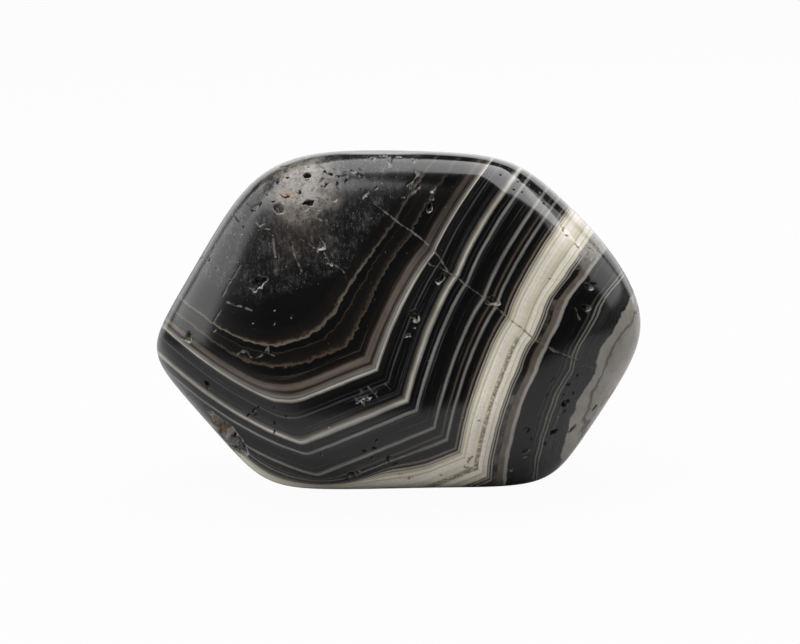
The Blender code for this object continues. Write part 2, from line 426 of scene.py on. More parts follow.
BANDS_PER_RAMP = 15

# How far the outer bands bend sideways, in millimetres, at heights above the stone's middle.
OUTER_BENDS = (
    (-12.0, 0.10), (-6.5, -0.05), (-4.5, 0.08), (-2.6, -0.18), (-0.3, 0.10), (1.9, -0.16), (4.0, 0.20),
    (7.0, 0.35), (12.0, 0.10),
)

CAMERA_DISTANCE = 213.4 * MM
CAMERA_LENS = 110.0
CAMERA_SENSOR = 36.0

# The light overhead is three panels with a notch between them, in metres: the middle of the whole
# and its turn in degrees, then how far along and across each panel sits, its length and width.
TOP_LIGHT_MIDDLE = (0.057, -0.008, 0.434)
TOP_LIGHT_TURN = 46.0
TOP_PANELS = {
    "top_light": (0.0, 0.065, 0.90, 0.27),
    "top_light_left": (-0.365, -0.135, 0.17, 0.13),
    "top_light_right": (0.235, -0.135, 0.43, 0.13),
}


def blend_planes(shares, crispness):
    """Distance to the rounded meeting of several planes, from each one's share of the way."""
    return sum(np.maximum(share, 0.0) ** crispness for share in shares) ** (-1.0 / crispness)


def flat_normal(facing, lean):
    turn, tip = math.radians(facing), math.radians(lean)
    return np.array((math.cos(turn) * math.cos(tip), -math.sin(tip), math.sin(turn) * math.cos(tip)))


def skin_reach(toward, shape):
    """Distance in mm from the middle to the skin, for rows of unit directions."""
    x, y, z = toward.T
    bulge = np.where(y < 0.0, shape.face_bulge, shape.back_bulge)
    fullness = np.where(y < 0.0, shape.face_fullness, shape.back_fullness)
    angle = np.arctan2(z, x)
    sides = [np.cos(angle - math.radians(facing)) / far for facing, far in SIDES.values()]
    flat_share = np.hypot(x, z) / blend_planes(sides, OUTLINE_CRISPNESS)
    shares = [(flat_share**fullness + (np.abs(y) / bulge) ** fullness) ** (1.0 / fullness)]
    for facing, lean, far in FLATS.values():
        shares.append(toward @ flat_normal(facing, lean) / far)
    swell = np.array([noise.noise(Vector(row) * SWELLS_PER_RADIUS + SWELL_PLACE) for row in toward])
    return blend_planes(shares, FLAT_CRISPNESS) * (1.0 + SWELL_SHARE * swell)


def unit(rows):
    return rows / np.linalg.norm(rows, axis=-1, keepdims=True)


def wrap(box_points, shape):
    """Points of the evened box, moved out to the skin, in millimetres."""
    evened = np.tan(box_points * EVENING) / math.tan(EVENING) * BOX
    toward = unit(evened)
    return toward * skin_reach(toward, shape)[:, None]


def skin_normals(points, shape):
    """Outward directions of the skin at points on it."""
    step = 0.02
    slopes = []
    for axis in range(3):
        ends = []
        for sign in (1.0, -1.0):
            moved = points.copy()
            moved[:, axis] += sign * step
            ends.append(np.linalg.norm(moved, axis=1) / skin_reach(unit(moved), shape))
        slopes.append(ends[0] - ends[1])
    return unit(np.stack(slopes, axis=1))


def grid_vertices(mesh):
    flat = np.empty(len(mesh.vertices) * 3)
    mesh.vertices.foreach_get("co", flat)
    return flat.reshape(-1, 3)


def deselect_everything():
    if bpy.context.object and bpy.context.object.mode != "OBJECT":
        bpy.ops.object.mode_set(mode="OBJECT")
    bpy.ops.object.select_all(action="DESELECT")


def add_box():
    """Six grids, one for each side of a box, joined and merged into one closed skin."""
    quarter = math.pi / 2.0
    sides = (
        ((0.0, 0.0, 1.0), (0.0, 0.0, 0.0), (0, 1)),
        ((0.0, 0.0, -1.0), (0.0, 0.0, 0.0), (0, 1)),
        ((0.0, -1.0, 0.0), (quarter, 0.0, 0.0), (0, 2)),
        ((0.0, 1.0, 0.0), (quarter, 0.0, 0.0), (0, 2)),
        ((-1.0, 0.0, 0.0), (0.0, quarter, 0.0), (2, 1)),
        ((1.0, 0.0, 0.0), (0.0, quarter, 0.0), (2, 1)),
    )
    deselect_everything()
    grids = []
    for place, turn, (across, up) in sides:
        bpy.ops.mesh.primitive_grid_add(
            x_subdivisions=CELLS[across], y_subdivisions=CELLS[up], size=2.0, location=place, rotation=turn
        )
        grids.append(bpy.context.object)
    for grid in grids:
        grid.select_set(True)
    bpy.ops.object.join()
    bpy.ops.object.transform_apply(location=True, rotation=True, scale=True)
    bpy.ops.object.mode_set(mode="EDIT")
    bpy.ops.mesh.select_all(action="SELECT")
    bpy.ops.mesh.remove_doubles(threshold=0.0001)
    bpy.ops.mesh.normals_make_consistent(inside=False)
    bpy.ops.object.mode_set(mode="OBJECT")
    return bpy.context.object


def distance_to_line(points, line):
    """Distance of each point from a line through several points, seen from the front."""
    flat = points[:, (0, 2)]
    nearest = np.full(len(points), 99.0)
    for start, end in zip(line[:-1], line[1:]):
        start, run = np.array(start), np.array(end) - np.array(start)
        share = np.clip((flat - start) @ run / (run @ run), 0.0, 1.0)
        nearest = np.minimum(nearest, np.linalg.norm(flat - start - share[:, None] * run, axis=1))
    return nearest


class Mark:
    """One pit, chip, slit, flake or stain: where it sits on the skin, and its own directions."""

    def __init__(self, place, size, depth, turn, side, skin, normals):
        on_side = np.flatnonzero(skin[:, 1] * side > 0.0)
        gaps = (skin[on_side, 0] - place[0]) ** 2 + (skin[on_side, 2] - place[1]) ** 2
        nearest = on_side[np.argmin(gaps)]
        self.outward = normals[nearest]
        shift = np.array((place[0] - skin[nearest, 0], 0.0, place[1] - skin[nearest, 2]))
        shift[1] = -(shift @ self.outward) / self.outward[1]
        self.spot = skin[nearest] + shift
        angle = math.radians(turn)
        along = np.array((math.cos(angle), 0.0, math.sin(angle)))
        self.along = unit(along - self.outward * (along @ self.outward))
        self.across = np.cross(self.outward, self.along)
        self.half = np.array(size) / 2.0
        self.depth = depth

    def gap(self, points):
        """How far points are outside the oval, in millimetres, roughly."""
        away = points - self.spot
        flat = np.stack((away @ self.along, away @ self.across), axis=1)
        share = np.linalg.norm(flat / self.half, axis=1)
        far = np.abs(away @ self.outward) > 3.0
        return np.where(far, 99.0, (share - 1.0) * self.half.min())

    def reach(self, points, ragged, waves):
        """How far out in the mark points are, 1 at its ragged rim."""
        bend = np.array([noise.noise_vector(Vector(row) * waves) for row in points])
        away = points - self.spot + ragged * self.half[0] * bend
        flat = np.stack((away @ self.along, away @ self.across), axis=1)
        return np.linalg.norm(flat / self.half, axis=1)


def place_marks(shape):
    """Every mark, by kind, on the skin as it is sampled by a coarse grid."""
    steps = np.linspace(-1.0, 1.0, 161)
    right, up = (grid.ravel() for grid in np.meshgrid(steps, steps))
    marks = {}
    skins = {}
    for side in (-1.0, 1.0):
        skin = wrap(np.stack((right, np.full_like(right, side), up), axis=1), shape)
        extra = [wrap(np.stack(rows, axis=1), shape) for rows in (
            (right, up * 0.999, np.full_like(right, -1.0)),
            (right, up * 0.999, np.full_like(right, 1.0)),
            (np.full_like(right, -1.0), up * 0.999, right),
            (np.full_like(right, 1.0), up * 0.999, right),
        )]
        skin = np.concatenate([skin] + extra)
        skin = skin[skin[:, 1] * side > 0.0]
        skins[side] = (skin, skin_normals(skin, shape))

    def add(kind, rows, side=-1.0, depth=None):
        marks[kind] = []
        for row in rows:
            if depth is None:
                right, up, length, width, deep, turn = row
            else:
                right, up, length, width, turn = row
                deep = depth
            marks[kind].append(Mark((right, up), (length, width), deep, turn, side, *skins[side]))

    add("pits", DEEP_PITS)
    add("chips", CHIPS)
    add("back_pits", BACK_PITS, side=1.0)
    add("slits", SLITS, depth=SLIT_DEPTH)
    add("flakes", FLAKES, depth=FLAKE_DEPTH)
    add("stains", STAINS, depth=STAIN_DEPTH)
    add("hollows", HOLLOWS)
    return marks


def refine_near_marks(stone, marks, shape):
    """Cuts the faces round every mark finer, while the skin is still a box."""
    for reach, cuts in REFINING:
        mesh = stone.data
        centres = np.empty(len(mesh.polygons) * 3)
        mesh.polygons.foreach_get("center", centres)
        points = wrap(centres.reshape(-1, 3), shape)
        front = points[:, 1] < 0.0
        chosen = np.zeros(len(points), bool)
        for kind in marks.values():
            for mark in kind:
                chosen |= mark.gap(points) < reach
        for line in (MAIN_CRACK,) + PALE_CRACKS + DARK_CRACKS:
            chosen |= (distance_to_line(points, line) < reach + MAIN_CRACK_WIDTH / 2.0) & front
        deselect_everything()
        stone.select_set(True)
        bpy.context.view_layer.objects.active = stone
        bpy.ops.object.mode_set(mode="EDIT")
        bpy.ops.mesh.select_mode(type="FACE")
        bpy.ops.mesh.select_all(action="DESELECT")
        bpy.ops.object.mode_set(mode="OBJECT")
        stone.data.polygons.foreach_set("select", chosen)
        bpy.ops.object.mode_set(mode="EDIT")
        bpy.ops.mesh.subdivide(number_cuts=cuts)
        bpy.ops.object.mode_set(mode="OBJECT")


def step_up(values, low, high):
    share = np.clip((values - low) / (high - low), 0.0, 1.0)
    return share * share * (3.0 - 2.0 * share)


def speckle(points, waves, offset):
    return np.array([noise.noise(Vector(row) * waves + Vector((offset, 0.0, 0.0))) for row in points])


def broken_facets(points, waves):
    """Flats that each lean their own way: heights about 0, distance from an edge, and a tint."""
    heights, edges, tints = [], [], []
    for row in points:
        place = Vector(row) * waves
        gaps, centres = noise.voronoi(place)
        lean = noise.noise_vector(centres[0] * 7.3)
        heights.append(lean.dot(place - centres[0]) + 0.5 * lean.x)
        edges.append(gaps[1] - gaps[0])
        tints.append(lean.y)
    return np.array(heights), np.array(edges), np.array(tints)


def sink_marks(points, marks, shape):
    """Sinks the marks into the skin, and says how crushed or glinting, dark, cracked or rusty each point is; the
    glints on rims and the dark in pits, slits and the hollow are painted highlight and painted shade.
    """
    normals = skin_normals(points, shape)
    sunk = np.zeros(len(points))
    crushed_and_glint, dark, cracked, rusty = (np.zeros(len(points)) for _ in range(4))
    looks = {
        "pits": (0.5, 1.7, 0.30, 0.95, 0.35, 0.0),
        "back_pits": (0.5, 1.7, 0.30, 0.95, 0.35, 0.0),
        "chips": (0.45, 1.9, 0.35, 0.15, 1.0, 0.0),
        "slits": (0.9, 3.2, 0.60, 1.0, 0.15, 0.0),
        "flakes": (0.8, 3.2, 0.70, 0.0, 1.0, 0.0),
        "stains": (0.9, 3.2, 0.80, 0.0, 0.1, 1.0),
    }
    for kind, (ragged, waves, wall, darkness, paleness, rust) in looks.items():
        for mark in marks[kind]:
            near = np.flatnonzero(mark.gap(points) < 0.5)
            if not len(near):
                continue
            spots = points[near]
            reach = mark.reach(spots, ragged, waves)
            rings = 0.5 + 0.5 * np.sin(reach * SHELL_RINGS + 4.0 * speckle(spots, 1.2, 7.0))
            floor = 1.0 + 0.5 * speckle(spots, 5.0, 3.0) - 0.3 * rings
            bowl = step_up(1.0 - reach, 0.0, wall) * floor
            sunk[near] = np.maximum(sunk[near], mark.depth * bowl)
            flecks = step_up(speckle(spots, 4.5, 9.0), -0.2, 0.4)
            # Painted highlight: rims and floors are paler on the lower right side, as glints where light would
            # catch them.
            lit = 0.12 + 0.88 * step_up(unit(spots - mark.spot) @ PAINTED_GLINT_SIDE, 0.0, 0.6)
            rim = step_up(reach, 0.45, 0.80) * (1.0 - step_up(reach, 0.98, 1.10))
            inside = 1.0 - step_up(reach, 0.8, 1.0)
            pale = paleness * (rim * lit * (0.3 + 0.7 * flecks) + 0.5 * inside * rings * flecks * lit)
            crushed_and_glint[near] = np.maximum(crushed_and_glint[near], pale)
            # Painted shade: the floors of the marks are darkened, most in pits and slits.
            dark[near] = np.maximum(dark[near], darkness * inside)
            rusty[near] = np.maximum(rusty[near], rust * inside)
    front = points[:, 1] < 0.0
    cracks = [(MAIN_CRACK, MAIN_CRACK_WIDTH, cracked)]
    cracks += [(line, PALE_CRACK_WIDTH, cracked) for line in PALE_CRACKS]
    cracks += [(line, PALE_CRACK_WIDTH, dark) for line in DARK_CRACKS]
    for line, width, look in cracks:
        near = np.flatnonzero((distance_to_line(points, line) < 0.4) & front)
        if not len(near):
            continue
        spots = points[near]
        away = distance_to_line(spots, line) + 0.09 * speckle(spots, 2.8, 1.0) + 0.03 * speckle(spots, 9.0, 4.0)
        varied = width * (1.0 + 0.9 * speckle(spots, 1.5, 5.0))
        broken = 0.35 + 0.65 * step_up(speckle(spots, 2.6, 11.0), -0.3, 0.1)
        open_share = broken * (1.0 - step_up(away, 0.25 * varied, 0.80 * varied))
        sunk[near] = np.maximum(sunk[near], CRACK_DEPTH * open_share)
        look[near] = np.maximum(look[near], open_share)
    for hollow in marks["hollows"]:
        near = np.flatnonzero(hollow.gap(points) < 1.2)
        spots = points[near]
        reach = hollow.reach(spots, 0.25, 0.7) + 0.16 * speckle(spots, 2.4, 6.0)
        coarse, coarse_edge, tint = broken_facets(spots, 0.9)
        small, small_edge, _ = broken_facets(spots, 2.4)
        bowl = step_up(1.0 - reach, -0.02, 0.50) * np.clip(0.75 + 0.9 * coarse + 0.3 * small, 0.05, 1.3)
        sunk[near] = np.maximum(sunk[near], hollow.depth * bowl)
        inside = 1.0 - step_up(reach, 0.92, 1.02)
        away = (spots - hollow.spot) @ hollow.along / hollow.half[0]
        upper = (spots - hollow.spot) @ hollow.across / hollow.half[1]
        stained = step_up(tint - 0.7 * np.abs(away + 0.55), -0.30, -0.15)
        rusty[near] = np.maximum(rusty[near], inside * stained)
        # Painted shade: the inside of the hollow is darkened, most where it is deepest.
        deep = step_up(bowl, 0.70, 0.95)
        dark[near] = np.maximum(dark[near], inside * np.maximum(0.75, deep))
        flecks = step_up(speckle(spots, 2.2, 9.0), -0.2, 0.3)
        # Crushed stone with painted glints: pale along the upper rim of the hollow and round its broken facets.
        ridge_glint = step_up(reach, 0.78, 0.92) * (1.0 - step_up(reach, 1.0, 1.10)) * step_up(upper, -0.3, 0.3)
        facet_rims = inside * (1.0 - step_up(coarse_edge, 0.02, 0.14)) * (0.2 + 0.5 * flecks)
        ridge_glint = np.maximum(ridge_glint * (0.3 + 0.7 * flecks), facet_rims)
        ridge_glint = np.maximum(ridge_glint, 0.6 * inside * flecks * (1.0 - step_up(small_edge, 0.02, 0.12)))
        crushed_and_glint[near] = np.maximum(crushed_and_glint[near], ridge_glint)
    moved = points - normals * sunk[:, None]
    return moved, {"crushed_and_glint": crushed_and_glint, "dark": dark, "cracked": cracked, "rusty": rusty}


def wear_resting_flat(stone, rest_height):
    """Cuts the underside off level and closes the cut."""
    bpy.ops.object.mode_set(mode="EDIT")
    bpy.ops.mesh.select_all(action="SELECT")
    bpy.ops.mesh.bisect(
        plane_co=(0.0, 0.0, rest_height), plane_no=(0.0, 0.0, -1.0), use_fill=True, clear_outer=True
    )
    bpy.ops.object.mode_set(mode="OBJECT")


def stand_in_frame(points):
    """How far the leant, cut stone moves to stand where the frame's solid stands."""
    low, high = points.min(axis=0), points.max(axis=0)
    return -np.array(((low[0] + high[0]) / 2.0, (low[1] + high[1]) / 2.0, low[2]))


class Pattern:
    """Adds shader nodes and joins them up. Each helper gives back what its node puts out."""

    def __init__(self, tree):
        self.tree = tree

    def node(self, kind, inputs, **settings):
        made = self.tree.nodes.new(kind)
        for name, value in settings.items():
            setattr(made, name, value)
        for name, value in inputs.items():
            if isinstance(value, bpy.types.NodeSocket):
                self.tree.links.new(value, made.inputs[name])
            else:
                made.inputs[name].default_value = value
        return made

    def math(self, operation, first, second=0.0, clamp=False):
        made = self.node("ShaderNodeMath", {0: first, 1: second}, operation=operation, use_clamp=clamp)
        return made.outputs[0]

    def plus(self, first, second):
        return self.math("ADD", first, second)

    def minus(self, first, second):
        return self.math("SUBTRACT", first, second)

    def times(self, first, second):
        return self.math("MULTIPLY", first, second)

    def over(self, first, second):
        return self.math("DIVIDE", first, second)

    def largest(self, first, second):
        return self.math("MAXIMUM", first, second)

    def rounded_largest(self, first, second, width):
        made = self.node("ShaderNodeMath", {0: first, 1: second, 2: width}, operation="SMOOTH_MAX")
        return made.outputs[0]

    def step(self, value, low, high):
        """0 below low and 1 above high, smoothly; the other way round where low is higher."""
        ends = {"Value": value, "From Min": low, "From Max": high, "To Min": 0.0, "To Max": 1.0}
        if low > high:
            ends = {"Value": value, "From Min": high, "From Max": low, "To Min": 1.0, "To Max": 0.0}
        return self.node("ShaderNodeMapRange", ends, interpolation_type="SMOOTHSTEP").outputs[0]

    def hump(self, value, start, end, edge):
        """1 between start and end, 0 outside."""
        rise = self.step(value, start - edge, start + edge)
        return self.times(rise, self.step(value, end + edge, end - edge))

    def vector(self, x, y, z):
        return self.node("ShaderNodeCombineXYZ", {"X": x, "Y": y, "Z": z}).outputs[0]

    def distance(self, right, up, centre):
        """How far a point is from a centre, given as right and up, seen from the front."""
        away = self.vector(self.minus(right, centre[0]), self.minus(up, centre[1]), 0.0)
        return self.node("ShaderNodeVectorMath", {0: away}, operation="LENGTH").outputs["Value"]

    def noise(self, place, scale, detail=2.0, roughness=0.5):
        """Noise about 0, roughly from -0.5 to 0.5."""
        inputs = {"Vector": place, "Scale": scale, "Detail": detail, "Roughness": roughness}
        return self.minus(self.node("ShaderNodeTexNoise", inputs).outputs["Fac"], 0.5)

    def blend(self, share, first, second):
        """A value that goes from first to second with the share."""
        made = self.node("ShaderNodeMix", {0: share, 2: first, 3: second}, data_type="FLOAT")
        return made.outputs[0]

    def curve(self, value, knots):
        """A value that follows given knots of (place, height), each height between -0.5 and 0.5."""
        greys = [(place, (height + 0.5, height + 0.5, height + 0.5, 1.0)) for place, height in knots]
        return self.minus(self.ramp(value, knots[0][0], knots[-1][0], greys, "EASE"), 0.5)

    def mix(self, share, first, second, blend="MIX"):
        inputs = {0: share, 6: first, 7: second}
        made = self.node("ShaderNodeMix", inputs, data_type="RGBA", blend_type=blend, clamp_factor=True)
        return made.outputs[2]

    def ramp(self, value, low, high, stops, easing="LINEAR"):
        """Colours by value, from stops of (value, colour) between low and high."""
        share = self.node(
            "ShaderNodeMapRange",
            {"Value": value, "From Min": low, "From Max": high, "To Min": 0.0, "To Max": 1.0},
        )
        made = self.node("ShaderNodeValToRGB", {"Fac": share.outputs[0]})
        bar = made.color_ramp
        bar.interpolation = easing
        for number, (place, colour) in enumerate(stops):
            spot = (place - low) / (high - low)
            stop = bar.elements[number] if number < 2 else bar.elements.new(spot)
            stop.position = spot
            stop.color = colour
        return made.outputs[0]


def band_colours(pattern, growth, colours):
    """The colour of the growth bands, as ramps that take over from each other outwards."""
    painted = None
    first = 0
    while first < len(BANDS):
        group = BANDS[first:first + BANDS_PER_RAMP]
        start = BANDS[first - 1][0] if first else group[0][0] - 1.0
        low, high = start - 0.05, group[-1][0] + 0.05
        stops = [(low, colours[group[0][1]])]
        for (end, name, blur), (_, after, _) in zip(group[:-1], group[1:]):
            stops.append((end - blur / 2.0, colours[name]))
            stops.append((end + blur / 2.0, colours[after]))
        stops.append((high, colours[group[-1][1]]))
        ramp = pattern.ramp(growth, low, high, stops)
        if painted is None:
            painted = ramp
        else:
            blur = BANDS[first - 1][2]
            painted = pattern.mix(pattern.step(growth, start - blur / 2.0, start + blur / 2.0), painted, ramp)
        first += BANDS_PER_RAMP
    return painted


def growth_coordinate(pattern, place, right, up, y):
    """How far out in the growth bands a point is, in millimetres, with its two parts."""
    p = pattern
    height = p.plus(up, 4.365)
    bend = p.plus(p.times(height, 0.30), p.times(p.times(height, height), 0.0126))
    across = p.minus(right, p.plus(bend, 1.283))
    from_crack = p.math("ABSOLUTE", p.plus(p.minus(up, 8.38), p.times(right, 0.85)))
    drag = p.times(p.math("EXPONENT", p.times(from_crack, -0.45)), 0.31)
    across = p.minus(across, p.times(drag, p.hump(right, -3.5, 17.0, 2.0)))
    across = p.minus(across, p.times(p.curve(up, OUTER_BENDS), p.step(across, 7.0, 10.5)))
    widening = p.math("MINIMUM", p.math("MAXIMUM", p.plus(up, 6.9), -5.2), 17.5)
    outer = p.step(across, -0.2, 0.2)
    widened = p.plus(1.0, p.times(p.times(widening, 0.01146), outer))
    rise = p.math("MINIMUM", p.math("MAXIMUM", p.plus(up, 1.0), 0.0), 8.5)
    spread = p.plus(p.times(p.step(across, -2.4, -3.2), 0.05), p.times(p.step(across, -6.2, -8.5), 0.085))
    rising = p.minus(p.over(across, widened), p.times(rise, spread))
    lower = p.over(p.minus(p.times(right, 0.405), p.plus(up, 7.178)), 1.12)
    lower = p.plus(lower, p.times(p.times(p.step(lower, 4.0, 5.0), p.step(right, 3.0, -3.0)), 0.9))
    left = p.minus(-8.424, right)
    left_floor = p.plus(p.times(left, 0.32), p.times(p.times(left, left), 0.02406))
    leftward = p.over(p.minus(p.minus(left_floor, 10.694), up), 0.8)
    rounding = p.times(p.minus(0.4, p.largest(lower, leftward)), 0.70)
    rounding = p.math("MINIMUM", p.math("MAXIMUM", rounding, 0.45), 5.0)
    below = p.rounded_largest(lower, leftward, rounding)
    below = p.minus(below, p.times(p.step(below, -5.4, -6.0), 0.28))
    below = p.minus(below, p.times(p.step(below, -6.5, -8.7), 0.75))
    # The white band sweeps round underneath, and shows along the lower rim.
    under = p.times(p.step(y, -8.2, -5.5), p.times(p.step(up, -10.0, -12.2), p.step(below, 0.5, 2.0)))
    below = p.plus(below, p.times(p.times(under, 0.95), p.math("MAXIMUM", p.minus(6.6, below), 0.0)))
    corner = p.times(p.minus(-5.0, p.largest(rising, below)), 0.7)
    corner = p.math("MINIMUM", p.math("MAXIMUM", corner, 0.04), 2.4)
    growth = p.rounded_largest(rising, below, corner)
    slow = p.noise(place, 0.22, 1.0)
    medium = p.noise(place, 0.75, 2.0)
    fine = p.noise(place, 2.2, 3.0, 0.6)
    outward = p.step(growth, 5.0, 12.0)
    inward = p.hump(growth, -10.6, -5.6, 0.5)
    edge = p.step(growth, 14.0, 15.2)
    wander = p.times(slow, p.plus(p.plus(0.12, p.times(outward, 0.15)), p.times(edge, 1.2)))
    size = p.plus(p.plus(0.08, p.times(outward, 0.10)), p.plus(p.times(inward, 0.4), p.times(edge, 0.9)))
    wander = p.plus(wander, p.times(medium, size))
    size = p.plus(p.plus(0.05, p.times(outward, 0.04)), p.times(inward, 0.7))
    wander = p.plus(wander, p.times(fine, size))
    return p.plus(growth, wander), rising, below


def onyx_material(middle, lean_back, colours, finish):
    """Bands of black, grey, brown and white round a mottled core, under a polished skin."""
    material = bpy.data.materials.new("banded_onyx")
    material.use_nodes = True
    material.node_tree.nodes.clear()
    p = Pattern(material.node_tree)
    coordinates = p.node("ShaderNodeTexCoord", {}).outputs["Object"]
    place = p.node(
        "ShaderNodeMapping",
        {"Vector": coordinates, "Location": middle, "Rotation": (-lean_back, 0.0, 0.0), "Scale": (MM, MM, MM)},
        vector_type="TEXTURE",
    ).outputs[0]
    split = p.node("ShaderNodeSeparateXYZ", {"Vector": place})
    x, y, z = split.outputs
    fan = p.plus(p.over(y, 213.4), 1.0)
    behind = p.math("MAXIMUM", p.minus(y, 1.0), 0.0)
    right = p.plus(p.over(x, fan), p.times(p.times(behind, behind), 0.025))
    up = p.minus(p.over(z, fan), p.times(p.times(behind, behind), 0.018))
    growth, rising, below = growth_coordinate(p, place, right, up, y)
    colour = band_colours(p, growth, colours)

    patchy = p.noise(place, 0.9, 3.0)
    grain = p.noise(place, 3.2, 4.0, 0.6)
    cloud = p.noise(place, 0.35, 2.0)
    lines = p.noise(p.vector(p.times(growth, 5.5), p.times(right, 0.13), p.times(up, 0.13)), 1.0, 3.0, 0.65)
    pale_zone = p.hump(growth, 5.2, 10.4, 0.25)

    # The brown streak in the white, strong below the crack and faint above it.
    streak = p.times(p.hump(growth, 7.30, 7.66, 0.10), p.step(up, -0.6, -2.2))
    streak = p.times(streak, p.step(grain, -0.15, 0.06))
    colour = p.mix(p.times(streak, 0.8), colour, colours["taupe"])
    # Outside it, a band that turns from beige to nearly black and back along its length.
    inky = p.largest(p.hump(up, 1.9, 4.4, 0.6), p.hump(up, -6.3, -1.8, 0.8))
    inky = p.times(p.hump(growth, 8.92, 9.42, 0.14), p.step(p.plus(patchy, inky), 0.35, 0.85))
    colour = p.mix(inky, colour, colours["brown"])
    beige = p.times(p.hump(growth, 8.96, 9.40, 0.22), p.step(p.minus(patchy, inky), -0.25, 0.25))
    colour = p.mix(p.times(beige, 0.6), colour, colours["fawn"])
    rosy = p.times(p.hump(growth, 9.38, 9.96, 0.12), p.step(p.plus(patchy, p.times(grain, 0.4)), -0.12, 0.12))
    colour = p.mix(p.times(rosy, 0.55), colour, colours["earth"])
    # High up, both are one beige band with brown specks.
    high = p.times(p.hump(growth, 8.45, 10.28, 0.12), p.step(up, 4.8, 6.2))
    specked = p.mix(p.step(grain, 0.02, 0.16), colours["stone"], colours["earth"])
    colour = p.mix(p.times(high, 0.85), colour, specked)

    # Fine growth lines, and slow changes along each band.
    low = p.blend(pale_zone, 0.66, 0.90)
    high = p.blend(pale_zone, 1.30, 1.07)
    shade = p.blend(p.step(lines, -0.22, 0.22), low, high)
    shade = p.blend(p.step(growth, 14.6, 15.2), shade, 1.0)
    shade = p.times(shade, p.plus(1.0, p.times(cloud, p.blend(pale_zone, 0.9, 0.25))))
    # Painted light: the white is brightened low down, where the light from above falls short, and the inner bands
    # are nearly black high up.
    shade = p.times(shade, p.plus(1.0, p.times(p.times(pale_zone, p.step(up, 1.0, -7.0)), 0.28)))
    fading = p.times(p.step(growth, -3.50, -3.80), p.step(up, 3.5, 8.0))
    shade = p.times(shade, p.minus(1.0, p.times(fading, 0.55)))
    colour = p.mix(1.0, colour, p.vector(shade, shade, shade), "MULTIPLY")
    clouded = p.noise(place, 4.0, 4.0, 0.75)
    sandy = p.times(p.step(clouded, -0.02, 0.22), p.hump(growth, 5.6, 8.5, 0.15))
    colour = p.mix(p.times(sandy, 0.45), colour, colours["sand"])
    threads = p.times(p.step(lines, 0.06, 0.26), p.hump(growth, -5.5, 14.8, 0.3))
    threads = p.times(threads, p.minus(0.30, p.times(pale_zone, 0.30)))
    colour = p.mix(threads, colour, colours["grey"])

    # The mottled grey core behind the upper left, streaked upwards, with a brown glow.
    core = p.largest(p.plus(rising, 10.2), p.plus(below, 13.0))
    core = p.plus(core, p.times(patchy, 2.2))
    in_core = p.step(core, 0.3, -0.7)
    streaked = p.vector(p.times(x, 1.6), y, p.plus(p.times(z, 0.7), p.times(x, 0.3)))
    glow = p.step(p.minus(p.distance(right, up, BROWN_GLOW), p.times(patchy, 2.5)), 4.5, 0.5)
    mottle = p.plus(p.noise(streaked, 2.0, 6.0, 0.8), p.plus(p.times(patchy, 0.4), p.times(glow, 0.09)))
    core_colour = p.ramp(
        mottle, -0.30, 0.40,
        [(-0.30, colours["black"]), (-0.10, colours["black"]), (-0.02, colours["ink"]), (0.06, colours["charcoal"]),
         (0.13, colours["slate"]), (0.24, colours["grey"]), (0.36, colours["mist"])],
    )
    core_colour = p.mix(p.times(glow, 0.5), core_colour, colours["umber"])
    scratches = p.step(p.noise(streaked, 4.5, 3.0, 0.7), 0.11, 0.22)
    core_colour = p.mix(p.times(scratches, 0.7), core_colour, colours["mist"])
    colour = p.mix(in_core, colour, core_colour)

    # The pale, weathered corner above it, with a brown spot.
    weathered = p.distance(right, up, PALE_CORNER)
    weathered = p.step(p.plus(weathered, p.times(patchy, 3.5)), PALE_CORNER_REACH, 0.8)
    skin_colour = p.mix(p.step(p.plus(grain, patchy), -0.1, 0.25), colours["putty"], colours["taupe"])
    spot = p.step(p.plus(p.distance(right, up, BROWN_SPOT), p.times(grain, 1.2)), 0.9, 0.3)
    skin_colour = p.mix(p.times(spot, 0.6), skin_colour, colours["tan"])
    worn_fine = p.noise(place, 4.5, 4.0, 0.8)
    skin_colour = p.mix(p.step(worn_fine, 0.02, 0.16), skin_colour, colours["umber"])
    skin_colour = p.mix(p.step(worn_fine, -0.08, -0.2), skin_colour, colours["sand"])
    colour = p.mix(p.times(weathered, 0.8), colour, skin_colour)

    # The outer end is weathered in fine spots.
    spotted = p.times(p.step(growth, 15.0, 15.6), p.step(p.plus(worn_fine, p.times(patchy, 0.5)), 0.0, 0.2))
    colour = p.mix(p.times(spotted, 0.35), colour, colours["taupe"])

    # Bright specks in the dark bands, many in the core, and fine brown ones in the pale.
    dots = p.node("ShaderNodeTexVoronoi", {"Vector": place, "Scale": 3.4}, distance="MANHATTAN")
    picked = p.node("ShaderNodeSeparateXYZ", {"Vector": dots.outputs["Color"]})
    few = p.blend(in_core, 0.76, 0.52)
    size = p.times(p.math("MAXIMUM", p.minus(picked.outputs[0], few), 0.0), 0.55)
    dot = p.step(p.minus(dots.outputs["Distance"], size), 0.02, -0.04)
    speck = p.mix(picked.outputs[1], colours["slate"], colours["silver"])
    colour = p.mix(p.times(dot, p.minus(1.0, pale_zone)), colour, speck)
    colour = p.mix(p.times(p.times(dot, pale_zone), 0.5), colour, colours["taupe"])

    # The marks of wear, as they were worked into the mesh, with painted shade in pits, slits and the hollow and
    # painted glints on rims.
    worn = {}
    for name in ("crushed_and_glint", "dark", "cracked", "rusty"):
        worn[name] = p.node("ShaderNodeAttribute", {}, attribute_name=name).outputs["Fac"]
    pale_crack = p.mix(p.step(grain, -0.2, 0.2), colours["umber"], colours["tan"])
    dark_crack = p.mix(p.step(grain, -0.2, 0.2), colours["taupe"], colours["grey"])
    crack_colour = p.mix(pale_zone, dark_crack, pale_crack)
    colour = p.mix(p.times(worn["cracked"], 0.8), colour, crack_colour)
    rust_colour = p.mix(p.step(grain, -0.15, 0.2), colours["umber"], colours["tan"])
